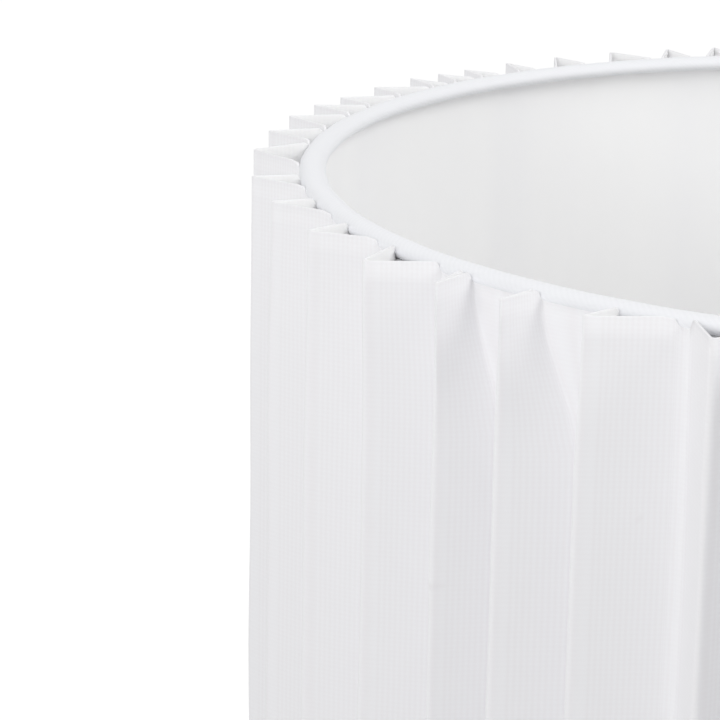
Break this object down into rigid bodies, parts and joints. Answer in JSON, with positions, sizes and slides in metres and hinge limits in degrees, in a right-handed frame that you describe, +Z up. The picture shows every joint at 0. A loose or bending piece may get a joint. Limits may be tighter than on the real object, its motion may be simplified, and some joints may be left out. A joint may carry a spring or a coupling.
{
  "type": "table lamp",
  "caption": "Table lamp with a pleated fabric drum shade, bound wire rings, a white liner, a slim metal stem and a round weighted base.",
  "frame": {"origin": "middle of the face that the lamp stands on, under the stem", "axes": "+Z up along the stem, +Y to the back where the cord leaves the base, +X to the side of the switch knob"},
  "size_m": [0.1998, 0.2, 0.3303],
  "materials": {
    "pleat_fabric": "woven, matt, folded in knife pleats",
    "liner_film": "smooth, translucent white film",
    "bound_wire": "steel wire bound in white cotton tape",
    "spider_wire": "white powder coat",
    "satin_steel": "satin, brushed in rings",
    "cast_weight": "rough casting",
    "felt": "pressed felt",
    "grommet_rubber": "matt moulded",
    "zinc_steel": "zinc plated",
    "holder_plastic": "moulded, half gloss",
    "holder_ceramic": "glazed insulator",
    "contact_brass": "rolled sheet",
    "bulb_cap_metal": "rolled thread",
    "bulb_plastic": "moulded",
    "opal_diffuser": "opal, softly diffusing"
  },
  "bodies": {
    "stand": {"base_pad": "felt", "base_weight": "cast_weight", "base_cover": "satin_steel", "cord_grommet": "grommet_rubber", "threaded_rod": "zinc_steel", "rod_nut": "zinc_steel", "rod_washer": "zinc_steel", "stem_tube": "satin_steel", "foot_collar": "satin_steel", "holder_cap": "holder_plastic", "locking_screw": "zinc_steel", "holder_shell": "holder_plastic", "holder_core": "holder_ceramic", "screw_shell": "contact_brass", "centre_contact": "contact_brass", "terminals": "contact_brass", "terminal_screws": "zinc_steel", "shade_ring": "holder_plastic", "switch_block": "holder_plastic", "bulb_contact": "contact_brass", "bulb_cap": "bulb_cap_metal", "bulb_housing": "bulb_plastic", "bulb_tube": "opal_diffuser"},
    "shade": {"pleated_cover": "pleat_fabric", "shade_liner": "liner_film", "top_ring": "bound_wire", "bottom_ring": "bound_wire", "fitter_ring": "spider_wire", "spider_arm_1": "spider_wire", "spider_arm_2": "spider_wire", "spider_arm_3": "spider_wire"},
    "switch": {"switch_shaft": "zinc_steel", "switch_knob": "holder_plastic"}
  },
  "joints": [
    {"name": "shade_turn", "type": "hinge", "parent": "stand", "child": "shade", "pos_m": [0, 0, 0.2001], "axis": [0, 0, 1], "continuous": true},
    {"name": "switch_turn", "type": "hinge", "parent": "stand", "child": "switch", "pos_m": [0.0296, 0, 0.1907], "axis": [1, 0, 0], "continuous": true}
  ]
}
